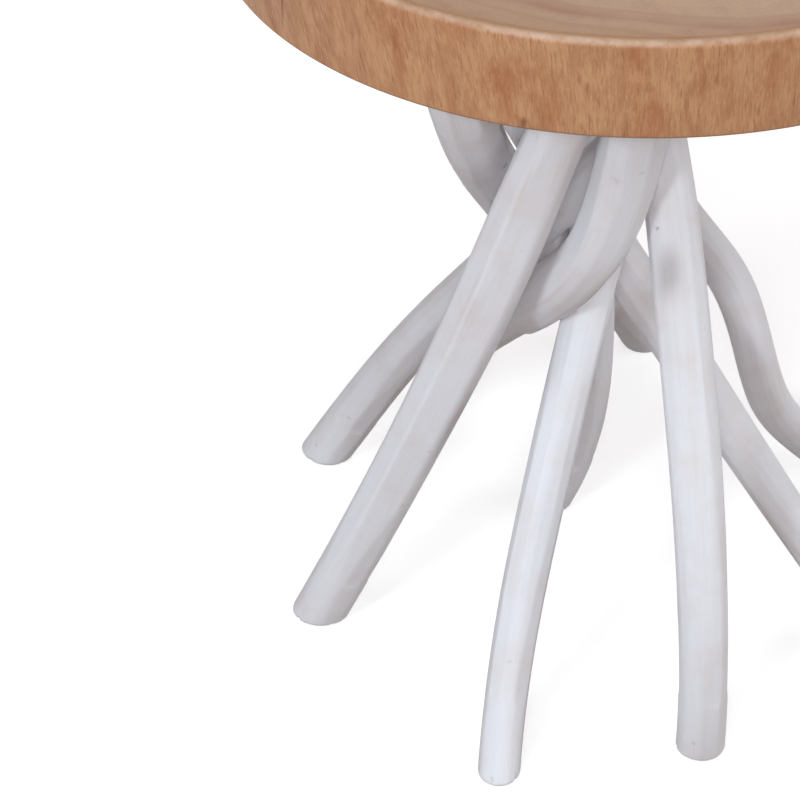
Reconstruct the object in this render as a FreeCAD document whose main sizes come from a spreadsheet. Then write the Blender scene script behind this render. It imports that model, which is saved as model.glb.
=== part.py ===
# Tree slice side table: a round slab of end-grain wood on ten hewn branch legs.
# Origin on the floor under the middle of the slab, Z up, front towards -Y.
import FreeCAD, Part
import math
import os
import Sketcher
from FreeCAD import Placement, Rotation, Vector

doc = FreeCAD.newDocument("tree_slice_side_table")
sheet = doc.addObject("Spreadsheet::Sheet", "sizes")

# Slab, dowels, screws and fits, in millimetres
SIZES = {
    "slab_diameter": 450,
    "slab_thickness": 55,
    "rim_round": 5,
    "rim_ease": 1.5,
    "leg_height": 420,
    "crossing_gap": 0.3,
    "dowel_diameter": 12,
    "dowel_length": 56,
    "dowel_chamfer": 1.5,
    "dowel_clearance": 0.15,
    "dowel_end_gap": 1,
    "screw_shank_diameter": 4,
    "screw_head_diameter": 8,
    "screw_head_height": 3,
    "screw_length": 36,
    "screw_tip_length": 6,
    "screw_clearance": 0.2,
    "plug_depth": 6,
    "plug_clearance": 0.1,
}

# Each leg from the slab down to the floor.
# top and foot: x, y, diameter; bends: x, y, way down the leg in percent of its height, diameter
LEGS = {
    "left_front_leg": {
        "top": (-35, -168, 33),
        "bends": [(-44, -147, 10.7, 33), (-68, -132, 30.5, 35), (-90, -120, 46.7, 34),
                  (-127, -99, 71.9, 32)],
        "foot": (-172, -75, 32),
    },
    "left_back_leg": {
        "top": (92, -36, 26),
        "bends": [(26, -66, 16.2, 25), (-14, -76, 25.2, 25), (-44, -62, 36, 26),
                  (-77, -30, 50.2, 27), (-118, 30, 71.9, 28)],
        "foot": (-171, 82, 30),
    },
    "back_left_leg": {
        "top": (3, -159, 41),
        "bends": [(-4, -142, 12.4, 36), (-12, -132, 24.3, 34), (-25, -122, 33.3, 33),
                  (-42, -102, 41, 33), (-53, -30, 55.2, 33), (-64, 92, 77.6, 33)],
        "foot": (-73, 210, 32),
    },
    "front_leg": {
        "top": (46, 50, 26),
        "bends": [(13, -20, 21.4, 26), (-15, -78, 40.5, 26), (-36, -125, 58.1, 26),
                  (-59, -178, 82.4, 25)],
        "foot": (-69, -218, 24),
    },
    "middle_leg": {
        "top": (-62, 92, 25),
        "bends": [(-32, 46, 26.2, 25), (-15, 12, 47.6, 25), (-12, 6, 60.5, 26), (-12, 14, 77.4, 26)],
        "foot": (-33, 30, 26),
    },
    "right_leg": {
        "top": (-101, -34, 28),
        "bends": [(-54, -17, 27.1, 29), (-9, -25, 44.8, 29), (35, -50, 59.5, 28),
                  (72, -75, 71.4, 26)],
        "foot": (159, -110, 25),
    },
    "back_leg": {
        "top": (-99, -155, 35),
        "bends": [(-87, -118, 15.2, 35), (-71, -53, 31.4, 34), (-44, 14, 49.5, 34),
                  (0, 122, 75.7, 33)],
        "foot": (38, 208, 32),
    },
    "front_right_leg": {
        "top": (4, -103, 27),
        "bends": [(12, -113, 15.2, 28), (19, -119, 25.2, 29), (28, -140, 41.2, 30),
                  (38, -178, 64.3, 29)],
        "foot": (45, -196, 28),
    },
    "right_back_leg": {
        "top": (34, 128, 26),
        "bends": [(18, 42, 31.4, 26), (28, 18, 44.3, 26), (67, 20, 58.3, 25), (87, 24, 72.4, 25),
                  (114, 48, 89, 25)],
        "foot": (146, 74, 26),
    },
    "back_right_leg": {
        "top": (150, 1, 29),
        "bends": [(176, 30, 32.9, 30), (180, 60, 60.5, 30), (166, 97, 83.6, 30)],
        "foot": (146, 130, 29),
    },
}

# The two thick branches, and the slimmer legs that are coped to fit against each
COPED = {
    "back_left_leg": ["front_leg", "left_back_leg", "front_right_leg", "left_front_leg"],
    "back_leg": ["left_back_leg", "middle_leg", "right_leg", "left_front_leg"],
}

# Crossings held by a screw: the leg that takes the head, then the leg that takes the point
SCREWED = [
    ("front_leg", "back_left_leg"),
    ("left_back_leg", "back_left_leg"),
    ("front_right_leg", "back_left_leg"),
    ("left_back_leg", "back_leg"),
    ("middle_leg", "back_leg"),
    ("right_leg", "back_leg"),
]

# Hewing: directions of the creases between the flats in degrees, their reach past the leg's radius,
# the turn from one leg to the next and the slow twist from one bend to the next
CREASES = (0, 34, 80, 118, 165, 203, 241, 287, 322)
CREASE_REACH = 1.03
LEG_TURN = 23
BEND_TWIST = 5
LOFT_DEGREE = 3

BEND_NAMES = "abcdef"
SAME_HEIGHT = 1e-6


# Sheet of sizes
def leg_cells():
    """Names and values of the leg sizes, one per cell."""
    cells = {}
    for leg, form in LEGS.items():
        for end in ("top", "foot"):
            for quantity, number in zip(("x", "y", "diameter"), form[end]):
                cells[f"{leg}_{end}_{quantity}"] = number
        for letter, bend in zip(BEND_NAMES, form["bends"]):
            for quantity, number in zip(("x", "y", "way_down", "diameter"), bend):
                cells[f"{leg}_bend_{letter}_{quantity}"] = number
    return cells


for row, (alias, number) in enumerate({**SIZES, **leg_cells()}.items(), start=1):
    sheet.set(f"A{row}", alias)
    sheet.set(f"B{row}", str(number))
    sheet.setAlias(f"B{row}", alias)
doc.recompute()


def size(alias):
    """The value of a named size in the sheet."""
    return float(sheet.get(alias))


def bind(obj, **expressions):
    """Tie an object's properties to the sheet, with two underscores standing for a dot."""
    for prop, expression in expressions.items():
        obj.setExpression(prop.replace("__", "."), expression)


def plane_of(body, role):
    """One of a body's own origin planes."""
    return next(plane for plane in body.Origin.OriginFeatures if plane.Role == role)


def disc_body(name, diameter, thickness):
    """A body with one round pad, its sizes taken from the named cells, and the pad itself."""
    body = doc.addObject("PartDesign::Body", name)
    sketch = body.newObject("Sketcher::SketchObject", f"{name}_circle")
    sketch.AttachmentSupport = [(plane_of(body, "XY_Plane"), "")]
    sketch.MapMode = "FlatFace"
    sketch.addGeometry(Part.Circle(Vector(), Vector(0, 0, 1), size(diameter) / 2), False)
    sketch.addConstraint(Sketcher.Constraint("Coincident", 0, 3, -1, 1))
    row = sketch.addConstraint(Sketcher.Constraint("Diameter", 0, size(diameter)))
    sketch.setExpression(f"Constraints[{row}]", f"sizes.{diameter}")
    pad = body.newObject("PartDesign::Pad", f"{name}_pad")
    pad.Profile = sketch
    bind(pad, Length=f"sizes.{thickness}")
    doc.recompute()
    return body, pad


def rim_at(shape, height):
    """Name of the circular edge of a shape at a height."""
    for i, edge in enumerate(shape.Edges, start=1):
        if max(abs(edge.BoundBox.ZMin - height), abs(edge.BoundBox.ZMax - height)) < SAME_HEIGHT:
            return f"Edge{i}"


# Centre lines of the legs
def stations(leg):
    """Names of a leg's sections, from the slab to the floor."""
    bends = [f"bend_{letter}" for letter in BEND_NAMES[:len(LEGS[leg]["bends"])]]
    return ["top"] + bends + ["foot"]


def height_of(leg, station):
    """Expression for the height of a leg's section above the floor."""
    if station == "top":
        return "sizes.leg_height"
    if station == "foot":
        return "0"
    return f"sizes.leg_height * (1 - sizes.{leg}_{station}_way_down / 100)"


def station_point(leg, station):
    """Middle of a leg's section."""
    height = sheet.evalExpression(height_of(leg, station))
    return Vector(size(f"{leg}_{station}_x"), size(f"{leg}_{station}_y"), height)


def centre_line(leg):
    """Smooth curve through the middles of a leg's sections."""
    curve = Part.BSplineCurve()
    curve.interpolate([station_point(leg, station) for station in stations(leg)])
    return curve.toShape()


def direction_at(points, i):
    """Unit direction of a leg at its section i, pointing up towards the slab."""
    steps = [(points[j] - points[j + 1]).normalize() for j in (i - 1, i) if 0 <= j < len(points) - 1]
    return sum(steps, Vector()).normalize()


# Hewn branches
def corners(turn, along, level):
    """Creases of a section of unit diameter, and how its plane is turned."""
    side = (Vector(1, 0, 0) - along * along.x).normalize()
    front = along.cross(side)
    reach = CREASE_REACH / 2
    angles = [math.radians(crease + turn) for crease in CREASES]
    if not level:
        flat = [(reach * math.cos(angle), reach * math.sin(angle)) for angle in angles]
        return flat, Rotation(side, front, along, "ZXY")
    offsets = [side * (reach * math.cos(angle)) + front * (reach * math.sin(angle)) for angle in angles]
    cuts = [offset - along * (offset.z / along.z) for offset in offsets]
    return [(cut.x, cut.y) for cut in cuts], Rotation()


def hewn_section(name, leg, station, growth):
    """Sketch of one section of a leg: a ring of uneven flats, level where the leg is sawn off."""
    points = [station_point(leg, each) for each in stations(leg)]
    i = stations(leg).index(station)
    turn = LEG_TURN * list(LEGS).index(leg) + BEND_TWIST * i
    ring, rotation = corners(turn, direction_at(points, i), station in ("top", "foot"))
    sketch = doc.addObject("Sketcher::SketchObject", name)
    sketch.Placement = Placement(Vector(), rotation)
    bind(sketch, Placement__Base__x=f"sizes.{leg}_{station}_x",
         Placement__Base__y=f"sizes.{leg}_{station}_y", Placement__Base__z=height_of(leg, station))
    alias = f"{leg}_{station}_diameter"
    diameter = size(alias)
    for i, (x, y) in enumerate(ring):
        u, v = ring[(i + 1) % len(ring)]
        start = Vector(x * diameter, y * diameter, 0)
        sketch.addGeometry(Part.LineSegment(start, Vector(u * diameter, v * diameter, 0)), False)
    for i, (x, y) in enumerate(ring):
        sketch.addConstraint(Sketcher.Constraint("Coincident", i, 2, (i + 1) % len(ring), 1))
        for kind, share in (("DistanceX", x), ("DistanceY", y)):
            row = sketch.addConstraint(Sketcher.Constraint(kind, -1, 1, i, 1, share * diameter))
            sketch.setExpression(f"Constraints[{row}]", f"(sizes.{alias} + {growth}) * {share:.6f}")
    return sketch


def hewn_branch(leg, suffix, growth):
    """A branch hewn to flats along its bends, sawn level at the slab and at the floor."""
    name = f"{leg}_{suffix}"
    branch = doc.addObject("Part::Loft", name)
    branch.Sections = [hewn_section(f"{name}_{station}", leg, station, growth) for station in stations(leg)]
    branch.Solid = True
    branch.MaxDegree = LOFT_DEGREE
    return branch


def cylinder(name, placement, radius, height):
    """Round tool or piece whose sizes are expressions."""
    obj = doc.addObject("Part::Cylinder", name)
    bind(obj, Radius=radius, Height=height)
    obj.Placement = placement
    return obj


def cut(base, tools, name):
    """What is left of a piece once each tool has been cut from it."""
    for i, tool in enumerate(tools):
        piece = doc.addObject("Part::Cut", f"{name}_cut_{i + 1}")
        piece.Base = base
        piece.Tool = tool
        base = piece
    base.Label = name
    return base


def along_axis(point, direction, back):
    """Placement with its Z along a direction, starting a little way behind a point."""
    return Placement(point - direction * back, Rotation(Vector(0, 0, 1), direction))


blanks = {leg: hewn_branch(leg, "blank", "0") for leg in LEGS}
copes = {leg: hewn_branch(leg, "cope", "2 * sizes.crossing_gap") for leg in COPED}

# Dowels between the legs and the slab, and their holes
dowel, dowel_pad = disc_body("dowel", "dowel_diameter", "dowel_length")
dowel_ends = dowel.newObject("PartDesign::Chamfer", "dowel_ends")
dowel_ends.Base = (dowel_pad, [rim_at(dowel_pad.Shape, end) for end in (0, size("dowel_length"))])
bind(dowel_ends, Size="sizes.dowel_chamfer")

dowel_places = {}
dowel_holes = {}
for leg in LEGS:
    points = [station_point(leg, station) for station in stations(leg)]
    up = direction_at(points, 0)
    half = size("dowel_length") / 2
    dowel_places[leg] = along_axis(points[0], up, half)
    hole_place = along_axis(points[0], up, half + size("dowel_end_gap"))
    dowel_holes[leg] = cylinder(f"{leg}_dowel_hole", hole_place,
                                "sizes.dowel_diameter / 2 + sizes.dowel_clearance",
                                "sizes.dowel_length + 2 * sizes.dowel_end_gap")

# Screws where legs cross, drawn once along Z with the head at the start
head = cylinder("screw_head", Placement(), "sizes.screw_head_diameter / 2", "sizes.screw_head_height")
shank = cylinder("screw_shank", Placement(), "sizes.screw_shank_diameter / 2",
                 "sizes.screw_length - sizes.screw_tip_length")
bind(shank, Placement__Base__z="sizes.screw_head_height")
tip = doc.addObject("Part::Cone", "screw_tip")
bind(tip, Radius1="sizes.screw_shank_diameter / 2", Radius2="0", Height="sizes.screw_tip_length",
     Placement__Base__z="sizes.screw_head_height + sizes.screw_length - sizes.screw_tip_length")
screw = doc.addObject("Part::MultiFuse", "screw")
screw.Shapes = [head, shank, tip]

screw_places = []
screw_holes = {leg: [] for leg in LEGS}
plugs = []
for near, far in SCREWED:
    closest_points = centre_line(near).distToShape(centre_line(far))[1]
    inner, outer = closest_points[0]
    into = (outer - inner).normalize()
    station = min(stations(near), key=lambda name: (station_point(near, name) - inner).Length)
    surface = inner - into * (size(f"{near}_{station}_diameter") / 2)
    name = f"{near}_to_{far}"
    screw_places.append(along_axis(surface, into, -size("plug_depth")))
    bore = cylinder(f"{name}_bore", along_axis(surface, into, size("plug_depth")),
                    "sizes.screw_head_diameter / 2 + sizes.screw_clearance",
                    "2 * sizes.plug_depth + sizes.screw_head_height")
    pilot = cylinder(f"{name}_pilot", along_axis(surface, into, 0),
                     "sizes.screw_shank_diameter / 2 + sizes.screw_clearance / 2",
                     "sizes.plug_depth + sizes.screw_head_height"
                     " + sizes.screw_length + sizes.screw_clearance")
    screw_holes[near] += [bore, pilot]
    screw_holes[far].append(pilot)
    plug_rod = cylinder(f"{name}_plug_rod", along_axis(surface, into, size("plug_depth")),
                        "sizes.screw_head_diameter / 2 + sizes.screw_clearance - sizes.plug_clearance",
                        "2 * sizes.plug_depth")
    plug = doc.addObject("Part::Common", f"{name}_plug")
    plug.Base = plug_rod
    plug.Tool = blanks[near]
    plugs.append(plug)

# Slab with a rounded upper rim, an eased lower rim and a blind hole for each dowel
slab_body, slab_pad = disc_body("slab_blank", "slab_diameter", "slab_thickness")
upper_rim = slab_body.newObject("PartDesign::Fillet", "upper_rim")
upper_rim.Base = (slab_pad, [rim_at(slab_pad.Shape, size("slab_thickness"))])
bind(upper_rim, Radius="sizes.rim_round")
doc.recompute()
lower_rim = slab_body.newObject("PartDesign::Fillet", "lower_rim")
lower_rim.Base = (upper_rim, [rim_at(upper_rim.Shape, 0)])
bind(lower_rim, Radius="sizes.rim_ease")
bind(slab_body, Placement__Base__z="sizes.leg_height")


# Pieces as they are handed over
def group(name, pieces):
    """Identical pieces kept together under one name."""
    compound = doc.addObject("Part::Compound", f"{name}_group")
    compound.Links = pieces
    compound.Label = name
    return compound


def copies(master, places, name):
    """One linked copy of a piece at each place."""
    links = []
    for i, place in enumerate(places, start=1):
        link = doc.addObject("App::Link", f"{name}_{i}")
        link.setLink(master)
        link.Placement = place
        links.append(link)
    return links


pieces = [cut(slab_body, list(dowel_holes.values()), "slab")]
for leg in LEGS:
    tools = [copes[thick] for thick, slim in COPED.items() if leg in slim]
    pieces.append(cut(blanks[leg], tools + [dowel_holes[leg]] + screw_holes[leg], leg))
pieces.append(group("leg_dowels", copies(dowel, dowel_places.values(), "leg_dowel")))
pieces.append(group("crossing_screws", copies(screw, screw_places, "crossing_screw")))
pieces.append(group("screw_plugs", plugs))
doc.recompute()

# Checks, then one file per piece
for obj in doc.Objects:
    if "Invalid" in obj.State or "Error" in obj.State:
        raise RuntimeError(f"{obj.Label} did not build: {obj.State}")
for piece in pieces:
    if piece.Shape.isNull() or not piece.Shape.isValid():
        raise RuntimeError(f"{piece.Label} has no valid shape")

os.makedirs("parts", exist_ok=True)
for piece in pieces:
    piece.Shape.exportStep(f"parts/{piece.Label}.step")
    print(piece.Label, len(piece.Shape.Solids), "solids", round(piece.Shape.Volume), "cubic mm")
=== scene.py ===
"""Looks of a tree slice side table: a round end-grain slab on ten hewn, white-painted branch legs."""
import math

import bmesh
import bpy
import numpy as np
from mathutils import Matrix, Vector
from mathutils.bvhtree import BVHTree


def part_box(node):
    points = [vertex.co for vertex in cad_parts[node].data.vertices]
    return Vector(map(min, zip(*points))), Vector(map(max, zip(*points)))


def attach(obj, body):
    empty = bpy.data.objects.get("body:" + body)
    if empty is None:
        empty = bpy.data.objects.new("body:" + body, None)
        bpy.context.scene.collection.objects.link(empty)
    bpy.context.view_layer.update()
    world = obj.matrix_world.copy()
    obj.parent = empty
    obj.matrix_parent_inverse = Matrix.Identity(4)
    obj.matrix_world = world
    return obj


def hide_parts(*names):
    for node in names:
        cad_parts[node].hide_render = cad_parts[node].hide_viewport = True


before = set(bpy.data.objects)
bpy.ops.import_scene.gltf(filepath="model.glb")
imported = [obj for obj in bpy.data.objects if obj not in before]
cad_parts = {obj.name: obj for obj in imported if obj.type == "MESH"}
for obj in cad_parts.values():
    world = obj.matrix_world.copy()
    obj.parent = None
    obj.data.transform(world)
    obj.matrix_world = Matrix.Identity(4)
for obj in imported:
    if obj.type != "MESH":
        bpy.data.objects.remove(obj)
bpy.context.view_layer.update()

MM = 0.001


def srgb(red, green, blue):
    """Linear colour of a screen colour given in 0 to 255."""
    channels = (channel / 255 for channel in (red, green, blue))
    return (*((c / 12.92 if c <= 0.04045 else ((c + 0.055) / 1.055) ** 2.4) for c in channels), 1)


# Camera fitted to the slab's rim and to the feet, with its lens and sensor in millimetres
CAMERA_PLACE = (-124.5 * MM, -1701.7 * MM, 1335.6 * MM)
CAMERA_PITCH = math.radians(36)
CAMERA_LENS = 159.57
CAMERA_SENSOR = 36

# Mesh of a leg, rolled up from a flat grid, with rings that turn level over a length at both ends
AROUND = 96
RING_STEP = 1.6 * MM
END_TURN = 45 * MM
GRID_HALF = 0.5
MERGE = 1e-6

# Middle line of a leg, centred on level sections of its solid between the two sawn faces
AXIS_LEVELS = 64
AXIS_RAYS = 24
AXIS_TRIES = 3
AXIS_SMOOTHING = 3
SAWN_FACE = 0.01 * MM
SAWN_MARGIN = 0.05 * MM

# How far from the middle line a ray starts, and how much further at a slanted end
SIDE_REACH = 26 * MM
END_REACH = 20 * MM

# Screws and their plugs: the hewn surface follows the solid round them and sinks a little under a plug
SCREW_COVER = 3 * MM
PLUG_SEAT = 0.3 * MM
PLUG_REACH = 1 * MM
PLUG_MARGIN = 5

# How far scraping has rounded the flats of each leg, from 0 for crisp flats to 1 for a round branch
ROUNDNESS = {
    "left_front_leg": 0.75,
    "left_back_leg": 0.25,
    "back_left_leg": 0.02,
    "front_leg": 0.15,
    "middle_leg": 0.15,
    "right_leg": 0.2,
    "back_leg": 0.1,
    "front_right_leg": 0.4,
    "right_back_leg": 0.2,
    "back_right_leg": 0.2,
}
ROUND_PASSES = 44
ROUND_SWAY = 0.12
ROUND_WAVE = 0.16
FOOT_ROUNDNESS = 0.9
FOOT_REACH = 70 * MM

# Drawknife strokes, the distance that stands for no stroke, and how far round a plane still cuts
FLATS = 8
STROKE_LENGTH = (80 * MM, 240 * MM)
STROKE_DEPTH = (0.2 * MM, 0.8 * MM)
STROKE_SWAY = math.radians(16)
STROKE_OVERLAP = (0.7, 1.1)
NO_STROKE = 1
LEAST_FACING = 0.2

# Broad flats down a leg: heading in degrees from the right round to the back, depth in millimetres
BROAD_FLATS = {
    "left_front_leg": [(-97, 2.6), (-152, 1.6)],
    "front_right_leg": [(-86, 1.6)],
}

# Broad flats run out towards the ends, where their plane stands clear by a share of the depth
FLAT_FADE = 130 * MM
FLAT_CLEAR = 0.4

# Creases between flats, and the height of a full one above the points a few steps beside it
CREASE_SOFTENING = 1
CREASE_SPAN = 5
CREASE_HEIGHT = 0.7 * MM

# Sawn foot: a rubbed rim with closer rings, their heights in millimetres, and a few small chips
FOOT_ROUND = 2.4 * MM
FOOT_LEVELS = (0, 0.2, 0.6, 1.2, 2.0, 3.0)
CHIPS = 5
CHIP_WIDTH = (math.radians(4), math.radians(10))
CHIP_DEPTH = (0.3 * MM, 1.1 * MM)
CHIP_HEIGHT = 4 * MM

# White paint
PAINT_WHITE = srgb(227, 228, 232)
PAINT_WARM = srgb(222, 217, 217)
PAINT_STROKE = srgb(205, 205, 211)
PAINT_THIN = srgb(204, 193, 186)
PAINT_RUBBED = srgb(186, 170, 158)
PAINT_MARK = srgb(158, 141, 130)
# Grey of a painted shadow that a crossing leg casts on a leg
PAINT_CAST_SHADOW = srgb(150, 140, 138)
PAINT_RELIEF = 0.12 * MM
PAINT_SPECULAR = 0.35

# Noises in the paint: scale, detail, roughness; the brush marks are drawn out along the leg
BRUSH_STRETCH = 0.05
BRUSH_NOISE = (1100.0, 4.0, 0.6)
WIDE_BRUSH_NOISE = (230.0, 3.0, 0.5)
CLOUD_NOISE = (34.0, 3.0, 0.55)
SPECK_NOISE = (520.0, 3.0, 0.55)

# Old knots and nicks in the legs: place and size in millimetres, strength
MARKS = [
    ((11, -132, 307), 2.0, 0.5),
    ((-13, -153, 351), 3.0, 0.2),
    ((-69, -106, 330), 3.0, 0.6),
    ((0, -157, 357), 1.6, 0.2),
    ((-61, -151, 304), 1.8, 0.22),
    ((-156, 56, 45), 2.0, 0.25),
    ((-177, 71, 13), 2.0, 0.25),
    ((-108, -120, 151), 1.6, 0.2),
    ((-123, -111, 106), 1.8, 0.22),
    ((-100, -129, 188), 1.4, 0.2),
    ((-73, -228, 4), 2.0, 0.3),
    ((40, -210, 15), 1.8, 0.25),
    ((-64, -197, 63), 1.5, 0.2),
]

# Soft grey painted shadow of a crossing leg on a leg: place, width and height in millimetres, strength
CAST_SHADOW_PATCHES = [
    ((18, -141, 284), 11, 26, 0.5),
]

# Slab
SLAB_LOW, SLAB_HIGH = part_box("slab")
SLAB_TOP = SLAB_HIGH[2]
SLAB_BOTTOM = SLAB_LOW[2]
SLAB_RADIUS = (SLAB_HIGH[0] - SLAB_LOW[0]) / 2
RIM_ROUND = 5 * MM
RIM_ROUND_STEPS = 8
RIM_EASE = 1.5 * MM
RIM_EASE_STEPS = 4
LONG_EDGE = 20 * MM
LONG_EDGE_CUTS = 20
SLAB_STEPS = 256

# Slab wood
SIDE_LIGHT = srgb(183, 137, 99)
SIDE_MID = srgb(164, 116, 80)
SIDE_RED = srgb(155, 96, 59)
SIDE_STREAK = srgb(149, 94, 59)
SIDE_FLECK = srgb(131, 77, 47)
SIDE_PALE = srgb(198, 155, 115)
SIDE_CHECK = srgb(98, 62, 44)
# Painted shade along the eased lower edge
SIDE_UNDER_SHADE = srgb(126, 86, 60)
# Pale upper rim: partly worn wood, partly painted highlight where the rounding catches the light
RIM_WEAR_AND_HIGHLIGHT = srgb(204, 173, 149)
TOP_LIGHT = srgb(167, 130, 95)
TOP_MID = srgb(158, 118, 84)
TOP_DARK = srgb(144, 98, 65)
TOP_RING = srgb(136, 84, 50)
TOP_PORE = srgb(139, 100, 72)
WOOD_RELIEF = 0.08 * MM
WOOD_SPECULAR = 0.4

# Where the slab's colours meet: up from the lower edge, which takes painted shade, down from the top, and in
# from the upper rim, where a pale band is partly wear and partly painted highlight
UNDER_SHADE_EDGE = (0.4 * MM, 1.8 * MM)
FACE_EDGE = (3.0 * MM, 1.2 * MM)
RIM_WEAR_AND_HIGHLIGHT_EDGE = (4.4 * MM, 1.2 * MM)

# Grain of the slab, drawn out along the trunk: stretch, scale, detail, roughness
GRAIN = {
    "fibres": (0.11, 1150.0, 3.0, 0.65),
    "flecks": (0.13, 640.0, 2.0, 0.55),
    "mottle": (0.45, 95.0, 5.0, 0.68),
    "bands": (0.22, 36.0, 3.0, 0.55),
}
GRAIN_LEAN = 0.45

# Growth rings: the pith, how far they wander, and one dark ring
PITH = (28 * MM, -40 * MM, 0)
RING_WANDER = 22 * MM
DARK_RING = 170 * MM
DARK_RING_WIDTH = 9 * MM

# Noises on the slab's top: scale, detail, roughness, and only the first two for those along a radius
WARP_NOISE = (9.0, 2.0, 0.5)
DRIFT_NOISE = (16.0, 2.0, 0.5)
BLOTCH_NOISE = (85.0, 4.0, 0.65)
RING_NOISE = (150.0, 2.0)
ZONE_NOISE = (24.0, 1.0)

# Drying check and small knot in the slab's side: place, width and height in millimetres, strength
CHECKS = [
    ((-184, -129, 455), 2.0, 28, 0.9),
    ((-64, -216, 424), 2.2, 4, 0.7),
]

# Dowels and screws, which show only where the table is taken apart
DOWEL_LIGHT = srgb(206, 172, 128)
DOWEL_DARK = srgb(176, 136, 92)
DOWEL_STRETCH = 0.06
DOWEL_NOISE = (700.0, 3.0, 0.6)
DOWEL_RELIEF = 0.05 * MM
STEEL_LIGHT = srgb(198, 200, 202)
STEEL_DARK = srgb(160, 162, 164)
STEEL_NOISE = (600.0, 3.0, 0.6)
STEEL_RELIEF = 0.02 * MM

# Floor, with its half width in metres, and its own light, which rises to white between two distances
FLOOR_HALF = 6
FLOOR_BOUNCE = (0.3, 0.23, 0.2, 1)
FLOOR_SEEN = (0.5, 0.5, 0.5, 1)
FLOOR_LIFT = 0.66
FLOOR_FADE = (0.35, 1.3)

# Sky light
SKY_LEVEL = 0.13
SKY_COLOUR = (1.0, 0.52, 0.4, 1)

# Lamps: azimuth from the front to the right and elevation in degrees, width in metres, watts, colour
LAMPS = {
    "key": (-31, 30, 0.5, 32, (0.82, 0.92, 1)),
    "front": (-5, 30, 0.6, 31, (0.94, 0.97, 1)),
    "high": (-25, 62, 1.4, 24, (0.75, 0.92, 1)),
    "right": (85, 15, 2.0, 40, (0.9, 0.97, 1)),
    "left": (-75, 20, 1.5, 9, (0.86, 0.94, 1)),
    "back": (165, 14, 2.5, 60, (0.94, 0.97, 1)),
}
LAMP_DISTANCE = 3.0
LAMP_AIM = Vector((0, 0, 0.25))


# Shader expressions
class Shade:
    """A socket in a material, with arithmetic that adds Math nodes."""

    def __init__(self, tree, socket):
        self.tree = tree
        self.socket = socket

    def node(self, kind, settings=None, output=0, **sockets):
        """Any other node: its settings first, then the values or links of its sockets, by name or _number."""
        node = self.tree.nodes.new(kind)
        for name, value in (settings or {}).items():
            setattr(node, name, value)
        for name, value in sockets.items():
            key = int(name[1:]) if name[0] == "_" else name.replace("_", " ")
            connect(self.tree, node.inputs[key], value)
        return Shade(self.tree, node.outputs[output])

    def math(self, operation, *values):
        """A Math node on this tree."""
        return self.node("ShaderNodeMath", {"operation": operation}, **numbered(values))

    def vector(self, operation, *values, output="Vector"):
        """A Vector Math node on this tree, with its Vector or its Value."""
        return self.node("ShaderNodeVectorMath", {"operation": operation}, output, **numbered(values))

    def __add__(self, other):
        return self.math("ADD", self, other)

    def __radd__(self, other):
        return self.math("ADD", other, self)

    def __sub__(self, other):
        return self.math("SUBTRACT", self, other)

    def __rsub__(self, other):
        return self.math("SUBTRACT", other, self)

    def __mul__(self, other):
        return self.math("MULTIPLY", self, other)

    def __rmul__(self, other):
        return self.math("MULTIPLY", other, self)

    def __truediv__(self, other):
        return self.math("DIVIDE", self, other)

    def __rtruediv__(self, other):
        return self.math("DIVIDE", other, self)

    def between(self, low, high):
        """0 below low, 1 above high, smooth between."""
        return self.node("ShaderNodeMapRange", {"interpolation_type": "SMOOTHSTEP"},
                         Value=self, From_Min=low, From_Max=high)

    def mixed(self, low, high):
        """Colour low where this is 0 and colour high where it is 1."""
        return self.node("ShaderNodeMix", {"data_type": "RGBA"}, output=2, _0=self, _6=low, _7=high)


def numbered(values):
    """Values for a node's sockets in their order."""
    return {f"_{i}": value for i, value in enumerate(values)}


def connect(tree, socket, value):
    """Link a shade to a socket, or set the socket's own value."""
    if isinstance(value, Shade):
        tree.links.new(value.socket, socket)
    else:
        socket.default_value = value


def new_material(name):
    """A material with a bare surface shader, and a shade to start expressions from."""
    material = bpy.data.materials.new(name)
    material.use_nodes = True
    tree = material.node_tree
    surface = tree.nodes["Principled BSDF"]
    return material, surface, Shade(tree, None)


def finish_surface(start, surface, colour, roughness, bump_height, bump_depth):
    """Feed colour, roughness and relief to a surface shader."""
    tree = start.tree
    connect(tree, surface.inputs["Base Color"], colour)
    connect(tree, surface.inputs["Roughness"], roughness)
    relief = start.node("ShaderNodeBump", Strength=1.0, Distance=bump_depth, Height=bump_height)
    connect(tree, surface.inputs["Normal"], relief)


def object_place(start):
    """Place on a piece, in the frame that all pieces share."""
    return start.node("ShaderNodeTexCoord", output="Object")


def noise(place, scale, detail, roughness):
    """Cloudy noise over a place."""
    return place.node("ShaderNodeTexNoise", Vector=place, Scale=scale, Detail=detail, Roughness=roughness)


def oval_reach(place, spot, width, height):
    """Distance from a spot, 0 at the spot and 1 at the edge of an upright oval round it."""
    offset = place.vector("SUBTRACT", place, tuple(coordinate * MM for coordinate in spot))
    squeezed = place.vector("MULTIPLY", offset, (1, 1, width / height))
    return place.vector("LENGTH", squeezed, output="Value") / (width * MM)


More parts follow.
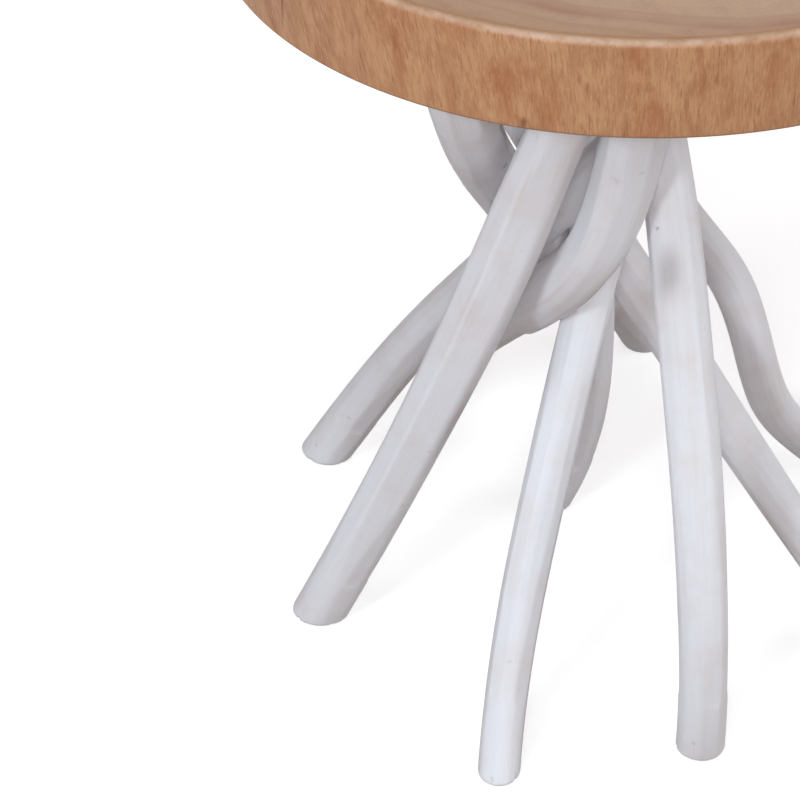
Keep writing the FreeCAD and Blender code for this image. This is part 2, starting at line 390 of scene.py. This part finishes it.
# Finishes
def white_paint():
    """Matte white paint brushed along hewn wood, thin on the creases, with knots, nicks and a painted shadow.
    """
    material, surface, start = new_material("white_paint")
    run = start.node("ShaderNodeAttribute", {"attribute_name": "grain"}, output="Vector")
    crease = start.node("ShaderNodeAttribute", {"attribute_name": "crease"}, output="Fac")
    place = object_place(start)
    strokes = noise(run, *BRUSH_NOISE)
    wide_strokes = noise(run, *WIDE_BRUSH_NOISE)
    cloud = noise(place, *CLOUD_NOISE)
    speck = noise(place, *SPECK_NOISE)
    tint = cloud.between(0.45, 0.7) * 0.6 + wide_strokes.between(0.46, 0.72) * 0.4
    colour = tint.mixed(PAINT_WHITE, PAINT_WARM)
    colour = (strokes.between(0.52, 0.72) * 0.22).mixed(colour, PAINT_STROKE)
    thin = crease.between(0.3, 1.0) * wide_strokes.between(0.5, 0.7)
    colour = (thin * 0.3).mixed(colour, PAINT_THIN)
    rubbed = speck.between(0.73, 0.77) * cloud.between(0.5, 0.6)
    colour = (rubbed * 0.35).mixed(colour, PAINT_RUBBED)
    dents = 0
    for spot, size, strength in MARKS:
        ragged = oval_reach(place, spot, size, size) + (speck - 0.5) * 2.4
        dents = (1 - ragged.between(0.25, 1.0)) * strength + dents
    colour = dents.mixed(colour, PAINT_MARK)
    # Painted shadow: a soft grey patch where a crossing leg shades a leg
    for spot, width, height, strength in CAST_SHADOW_PATCHES:
        soft = 1 - (oval_reach(place, spot, width, height) + (cloud - 0.5) * 0.5).between(0.1, 1.0)
        colour = (soft * strength).mixed(colour, PAINT_CAST_SHADOW)
    surface.inputs["Specular IOR Level"].default_value = PAINT_SPECULAR
    relief = strokes * 0.5 + wide_strokes * 0.7 - rubbed * 0.6 - dents * 2.5
    finish_surface(start, surface, colour, 0.62 + strokes * 0.12, relief, PAINT_RELIEF)
    return material


def slab_grain(place, height):
    """Noises drawn out along the trunk, which leans over on the left."""
    across = place.node("ShaderNodeSeparateXYZ", output="X", Vector=place)
    lean = place.math("MINIMUM", across, 0.0) * (height - SLAB_BOTTOM) * (-GRAIN_LEAN / SLAB_RADIUS ** 2)
    upright = place.node("ShaderNodeVectorRotate", {"rotation_type": "Z_AXIS"}, Vector=place, Angle=lean)
    return {
        name: noise(place.vector("MULTIPLY", upright, (1, 1, stretch)), *form)
        for name, (stretch, *form) in GRAIN.items()
    }


def slab_side(place, height, grain):
    """Colour of the slab's side: upright grain, a drying check, a small knot and painted shade along the
    lower edge.
    """
    fibres, mottle = grain["fibres"], grain["mottle"]
    side = mottle.between(0.36, 0.66).mixed(SIDE_LIGHT, SIDE_MID)
    side = (grain["bands"].between(0.44, 0.66) * mottle.between(0.32, 0.62) * 0.85).mixed(side, SIDE_RED)
    side = (fibres.between(0.46, 0.7) * 0.5).mixed(side, SIDE_STREAK)
    side = (grain["flecks"].between(0.58, 0.7) * 0.5).mixed(side, SIDE_FLECK)
    side = ((1 - fibres.between(0.28, 0.46)) * 0.4).mixed(side, SIDE_PALE)
    for spot, width, tall, strength in CHECKS:
        ragged = oval_reach(place, spot, width, tall) + (mottle - 0.5) * 1.2
        side = ((1 - ragged.between(0.3, 1.0)) * strength).mixed(side, SIDE_CHECK)
    # Painted shade: the eased lower edge is darkened where it turns under, away from the light
    under = 1 - height.between(*(SLAB_BOTTOM + rise for rise in UNDER_SHADE_EDGE))
    return under.mixed(side, SIDE_UNDER_SHADE)


def slab_face(place, flat, blotch, flecks):
    """Colour of the slab's top: growth rings round the pith, one of them dark, with blotches and pores."""
    warp = noise(place, *WARP_NOISE)
    drift = noise(place, *DRIFT_NOISE)
    radius = place.vector("DISTANCE", flat, PITH, output="Value") + (warp - 0.5) * RING_WANDER
    rings, zones = (
        place.node("ShaderNodeTexNoise", {"noise_dimensions": "1D"}, W=radius, Scale=scale, Detail=detail)
        for scale, detail in (RING_NOISE, ZONE_NOISE)
    )
    face = zones.between(0.35, 0.65).mixed(TOP_LIGHT, TOP_MID)
    face = (rings.between(0.5, 0.7) * 0.35).mixed(face, TOP_DARK)
    face = (blotch.between(0.42, 0.72) * 0.4).mixed(face, TOP_DARK)
    edge = place.math("ABSOLUTE", radius - DARK_RING)
    dark = (1 - edge.between(0.0, DARK_RING_WIDTH)) * (0.3 + drift.between(0.3, 0.65) * 0.7)
    face = (dark * (0.6 + rings * 0.6)).mixed(face, TOP_RING)
    return (flecks.between(0.55, 0.7) * 0.35).mixed(face, TOP_PORE)


def slab_wood():
    """Light brown hardwood cut across the trunk: rings and pores on top, upright grain on the side."""
    material, surface, start = new_material("slab_wood")
    place = object_place(start)
    height = start.node("ShaderNodeSeparateXYZ", output="Z", Vector=place)
    flat = start.vector("MULTIPLY", place, (1, 1, 0))
    outward = start.vector("LENGTH", flat, output="Value")
    grain = slab_grain(place, height)
    blotch = noise(place, *BLOTCH_NOISE)
    fibres, flecks = grain["fibres"], grain["flecks"]
    top = height.between(*(SLAB_TOP - depth for depth in FACE_EDGE))
    colour = top.mixed(slab_side(place, height, grain), slab_face(place, flat, blotch, flecks))
    # Pale band round the upper rim: partly worn wood and partly painted highlight on the rounding
    rim = outward.between(*(SLAB_RADIUS - inset for inset in RIM_WEAR_AND_HIGHLIGHT_EDGE))
    rim = rim * height.between(*(SLAB_TOP - depth for depth in RIM_WEAR_AND_HIGHLIGHT_EDGE)) * blotch.between(0.2, 0.85)
    colour = rim.mixed(colour, RIM_WEAR_AND_HIGHLIGHT)
    surface.inputs["Specular IOR Level"].default_value = WOOD_SPECULAR
    finish_surface(start, surface, colour, 0.42 + fibres * 0.2, fibres * 0.6 + flecks * 0.4, WOOD_RELIEF)
    return material


def dowel_wood():
    """Plain pale hardwood with fine straight grain."""
    material, surface, start = new_material("dowel_wood")
    along = start.vector("MULTIPLY", object_place(start), (1, 1, DOWEL_STRETCH))
    grain = noise(along, *DOWEL_NOISE)
    colour = grain.between(0.35, 0.7).mixed(DOWEL_LIGHT, DOWEL_DARK)
    finish_surface(start, surface, colour, 0.6 + grain * 0.15, grain, DOWEL_RELIEF)
    return material


def screw_steel():
    """Zinc-plated steel with a faint mottle."""
    material, surface, start = new_material("screw_steel")
    mottle = noise(object_place(start), *STEEL_NOISE)
    surface.inputs["Metallic"].default_value = 1.0
    colour = mottle.between(0.3, 0.7).mixed(STEEL_LIGHT, STEEL_DARK)
    finish_surface(start, surface, colour, 0.28 + mottle * 0.2, mottle, STEEL_RELIEF)
    return material


# Shapes
def new_object(name, shape):
    """An object in the scene with the mesh of a finished shape."""
    mesh = bpy.data.meshes.new(name)
    shape.to_mesh(mesh)
    shape.free()
    obj = bpy.data.objects.new(name, mesh)
    bpy.context.scene.collection.objects.link(obj)
    return obj


def surface_of(*nodes):
    """Search tree over the solids of some nodes."""
    shell = bmesh.new()
    for node in nodes:
        shell.from_mesh(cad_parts[node].data)
    tree = BVHTree.FromBMesh(shell)
    shell.free()
    return tree


def depth_of(skin, middle, spoke, reach):
    """Radius at which a ray from outside, along a spoke to the middle of a ring, meets a skin, or 0."""
    centre = Vector(middle)
    hit = skin.ray_cast(centre + spoke * reach, -spoke, reach)[0]
    return (hit - centre).length if hit else 0


# Middle line and rings of a leg
def ring_angles(count=AROUND):
    """Angles of the points round a ring."""
    return np.linspace(0, math.tau, count, endpoint=False)


def lengths_along(points):
    """Length of a line up to each of its points."""
    return np.concatenate(([0], np.cumsum(np.linalg.norm(np.diff(points, axis=0), axis=1))))


def clear_of_ends(along, length):
    """0 at both ends of a leg, rising to 1 over a length."""
    return np.clip(np.minimum(along, along[-1] - along) / length, 0, 1)


def leg_axis(node, skin):
    """Middles of a leg's level sections, from the floor to the slab."""
    low, high = (corner[2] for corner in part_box(node))
    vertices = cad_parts[node].data.vertices
    corners = [vertex.co for vertex in vertices if vertex.co.z < low + SAWN_FACE]
    middle = sum(corners, Vector()) / len(corners)
    spokes = [Vector((math.cos(angle), math.sin(angle), 0)) for angle in ring_angles(AXIS_RAYS)]
    reach = SIDE_REACH + END_REACH
    middles = []
    step = Vector()
    for level in np.linspace(low + SAWN_MARGIN, high - SAWN_MARGIN, AXIS_LEVELS):
        middle = Vector((middle.x + step.x, middle.y + step.y, level))
        for _ in range(AXIS_TRIES):
            hits = [skin.ray_cast(middle + spoke * reach, -spoke, reach)[0] for spoke in spokes]
            hits = [hit for hit in hits if hit]
            middle = sum(hits, Vector()) / len(hits)
        if middles:
            step = middle - middles[-1]
        middles.append(middle.copy())
    return np.array(middles)


def even_line(points, step):
    """A line through points again, smoothed a little, at even steps."""
    for _ in range(AXIS_SMOOTHING):
        points[1:-1] = (points[:-2] + 2 * points[1:-1] + points[2:]) / 4
    lengths = lengths_along(points)
    along = np.linspace(0, lengths[-1], round(lengths[-1] / step) + 1)
    return np.stack([np.interp(along, lengths, points[:, k]) for k in range(3)], axis=1)


def foot_rings(middles):
    """Middles with closer rings at the foot, where its rim is rounded."""
    low = middles[0, 2]
    rise = (middles[1] - middles[0]) / (middles[1, 2] - low)
    close = np.array([middles[0] + rise * level * MM for level in FOOT_LEVELS])
    above = middles[:, 2] > close[-1, 2] + RING_STEP / 2
    return np.concatenate((close, middles[above]))


def ring_frames(middles, along):
    """Side and front directions of each ring, and how far it lies square to the leg rather than level."""
    tangents = np.gradient(middles, axis=0)
    tangents /= np.linalg.norm(tangents, axis=1)[:, None]
    turned = clear_of_ends(along, END_TURN)
    square = turned ** 2 * (3 - 2 * turned)
    normals = tangents * square[:, None] + np.array((0, 0, 1)) * (1 - square)[:, None]
    normals /= np.linalg.norm(normals, axis=1)[:, None]
    side = np.array((1.0, 0, 0))
    sides = []
    for normal in normals:
        side = side - normal * side.dot(normal)
        side = side / np.linalg.norm(side)
        sides.append(side)
    sides = np.array(sides)
    return sides, np.cross(normals, sides), square


def solid_radii(node, middles, sides, fronts, square):
    """Radii of a leg's solid, with masks of where a plug covers it and where a screw lies close under it."""
    skin = surface_of(node)
    plugs = surface_of("screw_plugs")
    screws = surface_of("crossing_screws")
    radii = np.zeros((len(middles), AROUND))
    plugged = np.zeros_like(radii)
    screwed = np.zeros_like(radii)
    for j, middle in enumerate(middles):
        reach = SIDE_REACH + END_REACH * (1 - square[j])
        for i, angle in enumerate(ring_angles()):
            spoke = Vector(sides[j] * math.cos(angle) + fronts[j] * math.sin(angle))
            below = radii[j - 1, i]
            radii[j, i] = depth_of(skin, middle, spoke, reach) or below
            over_plug = depth_of(plugs, middle, spoke, below + PLUG_REACH)
            if over_plug > radii[j, i]:
                radii[j, i] = over_plug
                plugged[j, i] = 1
            if screws.find_nearest(Vector(middle) + spoke * radii[j, i], SCREW_COVER)[0]:
                screwed[j, i] = 1
    return radii, plugged, screwed


# Work on a leg's surface
def eased(radii, passes):
    """Radii averaged round each ring."""
    for _ in range(passes):
        radii = (np.roll(radii, 1, axis=1) + 2 * radii + np.roll(radii, -1, axis=1)) / 4
    return radii


def scraped(radii, along, roundness, rng):
    """Radii of a leg whose flats are scraped rounder here than there, and roundest at the foot."""
    sway = np.sin(math.tau * (along / ROUND_WAVE + rng.random())) * ROUND_SWAY
    share = np.clip(roundness + sway, 0, 1)
    near_foot = np.clip(1 - along / FOOT_REACH, 0, 1)
    share = share + (FOOT_ROUNDNESS - share) * near_foot
    return radii + (eased(radii, ROUND_PASSES) - radii) * share[:, None]


def planed(radii, heading, plane):
    """Radii with all that lies outside a plane taken off, given its distance out at each ring."""
    facing = np.maximum(np.cos(ring_angles() - heading), LEAST_FACING)
    return np.minimum(radii, plane[:, None] / facing)


def radii_towards(radii, heading):
    """Radius of each ring in one direction."""
    return radii[:, round(heading / math.tau * AROUND) % AROUND]


def hewn(radii, along, square, broad_flats, rng):
    """Radii of a leg after a drawknife has taken long, shallow, flat strokes off it, sparing its ends."""
    outer = eased(radii, ROUND_PASSES)
    spared = (1 - square) * SIDE_REACH
    out = radii.copy()
    for flat in range(FLATS):
        start = -rng.random() * STROKE_LENGTH[0]
        while start < along[-1]:
            length = rng.uniform(*STROKE_LENGTH)
            heading = math.tau * flat / FLATS + rng.uniform(-STROKE_SWAY, STROKE_SWAY)
            depth = rng.uniform(*STROKE_DEPTH) * square
            reach = (along - start) / length * 2 - 1
            stroke = radii_towards(outer, heading) - depth * (1 - reach ** 2)
            plane = np.where(np.abs(reach) < 1, stroke, NO_STROKE)
            out = planed(out, heading, plane + spared)
            start += length * rng.uniform(*STROKE_OVERLAP)
    share = (1 + FLAT_CLEAR) * clear_of_ends(along, FLAT_FADE) - FLAT_CLEAR
    for turn, depth in broad_flats:
        heading = math.radians(turn)
        out = planed(out, heading, radii_towards(outer, heading) - depth * MM * share + spared)
    return out


def spread(mask, steps):
    """A mask widened by some steps each way, fading out."""
    wide = mask.copy()
    for step in range(1, steps + 1):
        grown = np.maximum(np.roll(mask, 1, axis=1), np.roll(mask, -1, axis=1))
        grown[1:] = np.maximum(grown[1:], mask[:-1])
        grown[:-1] = np.maximum(grown[:-1], mask[1:])
        mask = np.maximum(mask, grown)
        wide = np.maximum(wide, mask * (1 - step / (steps + 1)))
    return wide


def creases(radii):
    """How sharply each point stands up between its neighbours, from 0 to 1."""
    beside = (np.roll(radii, CREASE_SPAN, axis=1) + np.roll(radii, -CREASE_SPAN, axis=1)) / 2
    return np.clip((radii - beside) / CREASE_HEIGHT, 0, 1)


def rubbed_foot(radii, heights, rng):
    """Radii with the sharp rim taken off the sawn foot in a quarter round, and a few chips out of it."""
    level = np.clip(heights / FOOT_ROUND, 0, 1)
    out = radii - (FOOT_ROUND * (1 - np.sqrt(1 - (1 - level) ** 2)))[:, None]
    near = np.clip(1 - heights / CHIP_HEIGHT, 0, 1)
    for _ in range(CHIPS):
        width = rng.uniform(*CHIP_WIDTH)
        off = (ring_angles() - rng.uniform(0, math.tau) + math.pi) % math.tau - math.pi
        notch = np.clip(1 - (off / width) ** 2, 0, 1) * rng.uniform(*CHIP_DEPTH)
        out -= near[:, None] * notch[None, :]
    return out


# Pieces
def leg_tube(middles, along, sides, fronts, radii, crease):
    """Closed tube of rings, with its run along the leg and its creases kept for the paint."""
    shape = bmesh.new()
    rings = len(middles)
    bmesh.ops.create_grid(shape, x_segments=AROUND, y_segments=rings - 1, size=GRID_HALF)
    grain_layer = shape.verts.layers.float_vector.new("grain")
    crease_layer = shape.verts.layers.float.new("crease")
    angles = ring_angles()
    for vertex in shape.verts:
        i = round((vertex.co.x + GRID_HALF) * AROUND) % AROUND
        j = round((vertex.co.y + GRID_HALF) * (rings - 1))
        cosine, sine = math.cos(angles[i]), math.sin(angles[i])
        spoke = sides[j] * cosine + fronts[j] * sine
        vertex.co = Vector(middles[j] + spoke * radii[j, i])
        width = radii[j].mean()
        vertex[grain_layer] = (width * cosine, width * sine, along[j] * BRUSH_STRETCH)
        vertex[crease_layer] = crease[j, i]
    bmesh.ops.remove_doubles(shape, verts=shape.verts, dist=MERGE)
    rims = [edge for edge in shape.edges if edge.is_boundary]
    bmesh.ops.holes_fill(shape, edges=rims, sides=0)
    bmesh.ops.recalc_face_normals(shape, faces=shape.faces)
    for face in shape.faces:
        face.smooth = len(face.verts) == 4
    return shape


def build_leg(node, seed, finish):
    """One leg: the solid's outer skin, scraped, hewn and rubbed at the foot."""
    rng = np.random.default_rng(seed)
    middles = foot_rings(even_line(leg_axis(node, surface_of(node, "screw_plugs")), RING_STEP))
    along = lengths_along(middles)
    sides, fronts, square = ring_frames(middles, along)
    radii, plugged, screwed = solid_radii(node, middles, sides, fronts, square)
    worked = scraped(radii, along, ROUNDNESS[node], rng)
    worked = hewn(worked, along, square, BROAD_FLATS.get(node, []), rng)
    worked = eased(worked, CREASE_SOFTENING)
    held = spread(np.maximum(plugged, screwed), PLUG_MARGIN)
    worked = worked + (radii - worked) * held - plugged * PLUG_SEAT
    crease = creases(worked)
    worked = rubbed_foot(worked, middles[:, 2] - middles[0, 2], rng)
    piece = new_object(f"{node}_hewn", leg_tube(middles, along, sides, fronts, worked, crease))
    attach(piece, "root")
    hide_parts(node)
    piece.data.materials.append(finish)


def build_slab(finish):
    """The slice: a turned disc with a rounded upper rim and an eased lower one."""
    shape = bmesh.new()
    outline = [(0, SLAB_TOP), (SLAB_RADIUS, SLAB_TOP), (SLAB_RADIUS, SLAB_BOTTOM), (0, SLAB_BOTTOM)]
    corners = [shape.verts.new((x, 0, z)) for x, z in outline]
    for pair in zip(corners, corners[1:]):
        shape.edges.new(pair)
    rims = ((corners[1], RIM_ROUND, RIM_ROUND_STEPS), (corners[2], RIM_EASE, RIM_EASE_STEPS))
    for corner, offset, steps in rims:
        bmesh.ops.bevel(shape, geom=[corner], offset=offset, segments=steps, profile=0.5,
                        affect="VERTICES", material=-1)
    long_edges = [edge for edge in shape.edges if edge.calc_length() > LONG_EDGE]
    bmesh.ops.subdivide_edges(shape, edges=long_edges, cuts=LONG_EDGE_CUTS)
    bmesh.ops.spin(shape, geom=list(shape.verts) + list(shape.edges), cent=(0, 0, 0), axis=(0, 0, 1),
                   angle=math.tau, steps=SLAB_STEPS, use_merge=True)
    bmesh.ops.remove_doubles(shape, verts=shape.verts, dist=MERGE)
    bmesh.ops.recalc_face_normals(shape, faces=shape.faces)
    for face in shape.faces:
        face.smooth = True
    piece = new_object("slab_slice", shape)
    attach(piece, "root")
    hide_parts("slab")
    piece.data.materials.append(finish)


# Studio
def seen_directly(start):
    """1 for rays that show the background itself, in the picture, in a reflection or through glass."""
    camera, glossy, through = (
        start.node("ShaderNodeLightPath", output=f"Is {kind} Ray")
        for kind in ("Camera", "Glossy", "Transmission")
    )
    return start.math("MAXIMUM", start.math("MAXIMUM", camera, glossy), through)


def build_floor():
    """Plain pale floor that shows white to the camera and keeps the table's shadow."""
    shape = bmesh.new()
    bmesh.ops.create_grid(shape, x_segments=1, y_segments=1, size=FLOOR_HALF)
    floor = new_object("floor", shape)
    material, surface, start = new_material("floor")
    surface.inputs["Roughness"].default_value = 1
    surface.inputs["Specular IOR Level"].default_value = 0
    surface.inputs["Emission Strength"].default_value = 1
    away = start.vector("LENGTH", object_place(start), output="Value")
    lift = FLOOR_LIFT + away.between(*FLOOR_FADE) * (1 - FLOOR_LIFT)
    seen = seen_directly(start)
    connect(start.tree, surface.inputs["Base Color"], seen.mixed(FLOOR_BOUNCE, FLOOR_SEEN))
    connect(start.tree, surface.inputs["Emission Color"], seen * lift)
    floor.data.materials.append(material)


def build_world():
    """Weak, even, warm sky light behind a white background."""
    world = bpy.data.worlds.new("studio")
    world.use_nodes = True
    tree = world.node_tree
    tree.nodes.clear()
    start = Shade(tree, None)
    sky = start.node("ShaderNodeBackground", Color=SKY_COLOUR, Strength=SKY_LEVEL)
    white = start.node("ShaderNodeBackground", Color=(1, 1, 1, 1), Strength=1.0)
    mix = start.node("ShaderNodeMixShader", _0=seen_directly(start), _1=sky, _2=white)
    output = tree.nodes.new("ShaderNodeOutputWorld")
    connect(tree, output.inputs["Surface"], mix)
    bpy.context.scene.world = world


def build_lamp(name, azimuth, elevation, width, power, colour):
    """A round soft lamp aimed at the middle of the table."""
    data = bpy.data.lights.new(name, "AREA")
    data.shape = "DISK"
    data.size = width
    data.energy = power
    data.color = colour
    turn, rise = math.radians(azimuth), math.radians(elevation)
    away = Vector((math.sin(turn) * math.cos(rise), -math.cos(turn) * math.cos(rise), math.sin(rise)))
    place = Matrix.Translation(LAMP_AIM + away * LAMP_DISTANCE)
    obj = bpy.data.objects.new(name, data)
    obj.matrix_world = place @ away.to_track_quat("Z", "Y").to_matrix().to_4x4()
    obj.visible_camera = False
    bpy.context.scene.collection.objects.link(obj)


def build_camera():
    """Camera at the photograph's viewing angle."""
    data = bpy.data.cameras.new("camera")
    data.lens = CAMERA_LENS
    data.sensor_width = CAMERA_SENSOR
    camera = bpy.data.objects.new("camera", data)
    camera.location = CAMERA_PLACE
    camera.rotation_euler = (math.pi / 2 - CAMERA_PITCH, 0, 0)
    bpy.context.scene.collection.objects.link(camera)
    bpy.context.scene.camera = camera


paint = white_paint()
for seed, leg in enumerate(ROUNDNESS):
    build_leg(leg, seed, paint)
build_slab(slab_wood())
finishes = {"leg_dowels": dowel_wood(), "crossing_screws": screw_steel(), "screw_plugs": paint}
for node, finish in finishes.items():
    for material_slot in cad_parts[node].material_slots:
        material_slot.material = finish

build_floor()
build_world()
for lamp, form in LAMPS.items():
    build_lamp(lamp, *form)
build_camera()
bpy.context.scene.view_settings.view_transform = "Standard"
